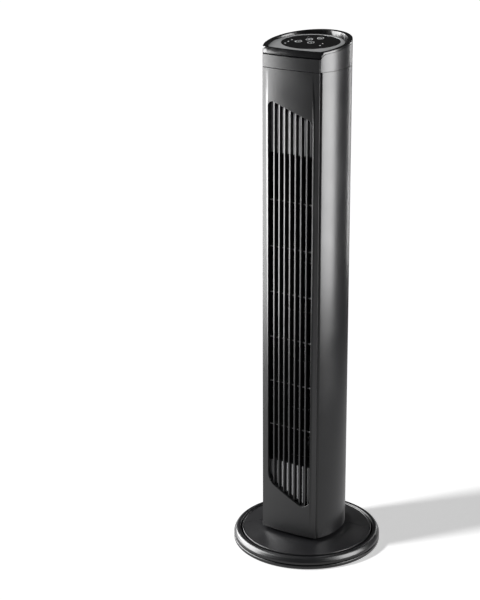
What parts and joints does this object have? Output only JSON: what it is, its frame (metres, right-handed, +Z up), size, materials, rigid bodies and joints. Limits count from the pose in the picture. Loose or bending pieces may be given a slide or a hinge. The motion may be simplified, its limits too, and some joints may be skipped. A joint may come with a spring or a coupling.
{
  "type": "tower fan",
  "caption": "Slim black tower fan with a slanted vertical-slat grille, a sloping push-button control panel and a round weighted base; its column swings.",
  "frame": {"origin": "centre of the round base on the surface that the feet stand on", "axes": "+Z up along the column, the air leaves towards -Y, +X to the right of somebody facing the fan"},
  "size_m": [0.2636, 0.2636, 0.9139],
  "materials": {
    "casing": "satin black moulded ABS",
    "grille_front": "semi-gloss black moulded ABS",
    "gloss_black": "high-gloss black moulded ABS",
    "panel_glass": "gloss black acrylic lens",
    "bezel_grey": "satin silver-grey paint on plastic",
    "button_black": "gloss black key with a pale printed ring",
    "light_pipe": "clear light guide",
    "inner_plastic": "black moulded plastic, matte",
    "impeller_plastic": "black glass-filled nylon",
    "zinc_steel": "zinc-plated steel",
    "motor_steel": "pressed and coated steel",
    "rubber": "black rubber",
    "bronze": "sintered bronze",
    "acetal": "natural acetal",
    "circuit_board": "green circuit board"
  },
  "bodies": {
    "base": {"base_pan": "casing", "base_rim": "casing", "base_front_half": "casing", "base_rear_half": "casing", "ballast_ring": "motor_steel", "rubber_feet": "rubber", "base_screws": "zinc_steel", "pivot_turret": "inner_plastic", "turret_screws": "zinc_steel", "slide_washer": "acetal", "swing_gear": "acetal", "gear_screws": "zinc_steel", "cord_gland": "rubber"},
    "column": {"bearing_bush": "bronze", "bearing_mount": "rubber", "bottom_chassis": "inner_plastic", "cap_front": "grille_front", "cap_shell": "casing", "control_bezel": "bezel_grey", "control_board": "circuit_board", "control_housing": "gloss_black", "duct_ceiling": "inner_plastic", "duct_floor": "inner_plastic", "front_panel": "grille_front", "indicator_lights": "light_pipe", "lower_baffle": "inner_plastic", "motor_case_lower": "motor_steel", "motor_case_upper": "motor_steel", "motor_mounts": "rubber", "motor_screws": "zinc_steel", "motor_stator": "motor_steel", "panel_lens": "panel_glass", "rear_grille": "casing", "rear_screws": "zinc_steel", "rear_shell": "casing", "run_capacitor": "inner_plastic", "scroll_wall": "inner_plastic", "stabiliser": "inner_plastic", "swing_bracket": "inner_plastic", "swing_motor": "motor_steel", "tact_switches": "inner_plastic", "top_frame": "inner_plastic", "upper_baffle": "inner_plastic", "wiring_loom": "rubber"},
    "impeller": {"impeller_end_disc": "impeller_plastic", "impeller_hub": "motor_steel", "impeller_stage_1": "impeller_plastic", "impeller_stage_2": "impeller_plastic", "impeller_stage_3": "impeller_plastic", "impeller_stage_4": "impeller_plastic", "impeller_stage_5": "impeller_plastic", "impeller_stage_6": "impeller_plastic", "motor_rotor": "motor_steel"},
    "swing_pinion": {"swing_pinion": "acetal"},
    "button_power": {"button_power": "button_black"},
    "button_speed": {"button_speed": "button_black"},
    "button_swing": {"button_swing": "button_black"},
    "button_timer": {"button_timer": "button_black"}
  },
  "joints": [
    {"name": "column_swing", "type": "hinge", "parent": "base", "child": "column", "pos_m": [0, 0, 0.044], "axis": [0, 0, 1], "range_deg": [-35, 35]},
    {"name": "impeller_spin", "type": "hinge", "parent": "column", "child": "impeller", "pos_m": [0, 0.008, 0.44], "axis": [0, 0, 1], "continuous": true},
    {"name": "pinion_spin", "type": "hinge", "parent": "column", "child": "swing_pinion", "pos_m": [0, 0.0375, 0.0535], "axis": [0, 0, 1], "range_deg": [-145, 145]},
    {"name": "button_power_press", "type": "slide", "parent": "column", "child": "button_power", "axis": [0, 0.1005, -0.9949], "range_m": [0, 0.0008], "stiffness_N_per_m": 600},
    {"name": "button_speed_press", "type": "slide", "parent": "column", "child": "button_speed", "axis": [0, 0.1005, -0.9949], "range_m": [0, 0.0008], "stiffness_N_per_m": 600},
    {"name": "button_swing_press", "type": "slide", "parent": "column", "child": "button_swing", "axis": [0, 0.1005, -0.9949], "range_m": [0, 0.0008], "stiffness_N_per_m": 600},
    {"name": "button_timer_press", "type": "slide", "parent": "column", "child": "button_timer", "axis": [0, 0.1005, -0.9949], "range_m": [0, 0.0008], "stiffness_N_per_m": 600}
  ],
  "couplings": [
    {"joint": "pinion_spin", "follows": "column_swing", "ratio": 4}
  ]
}
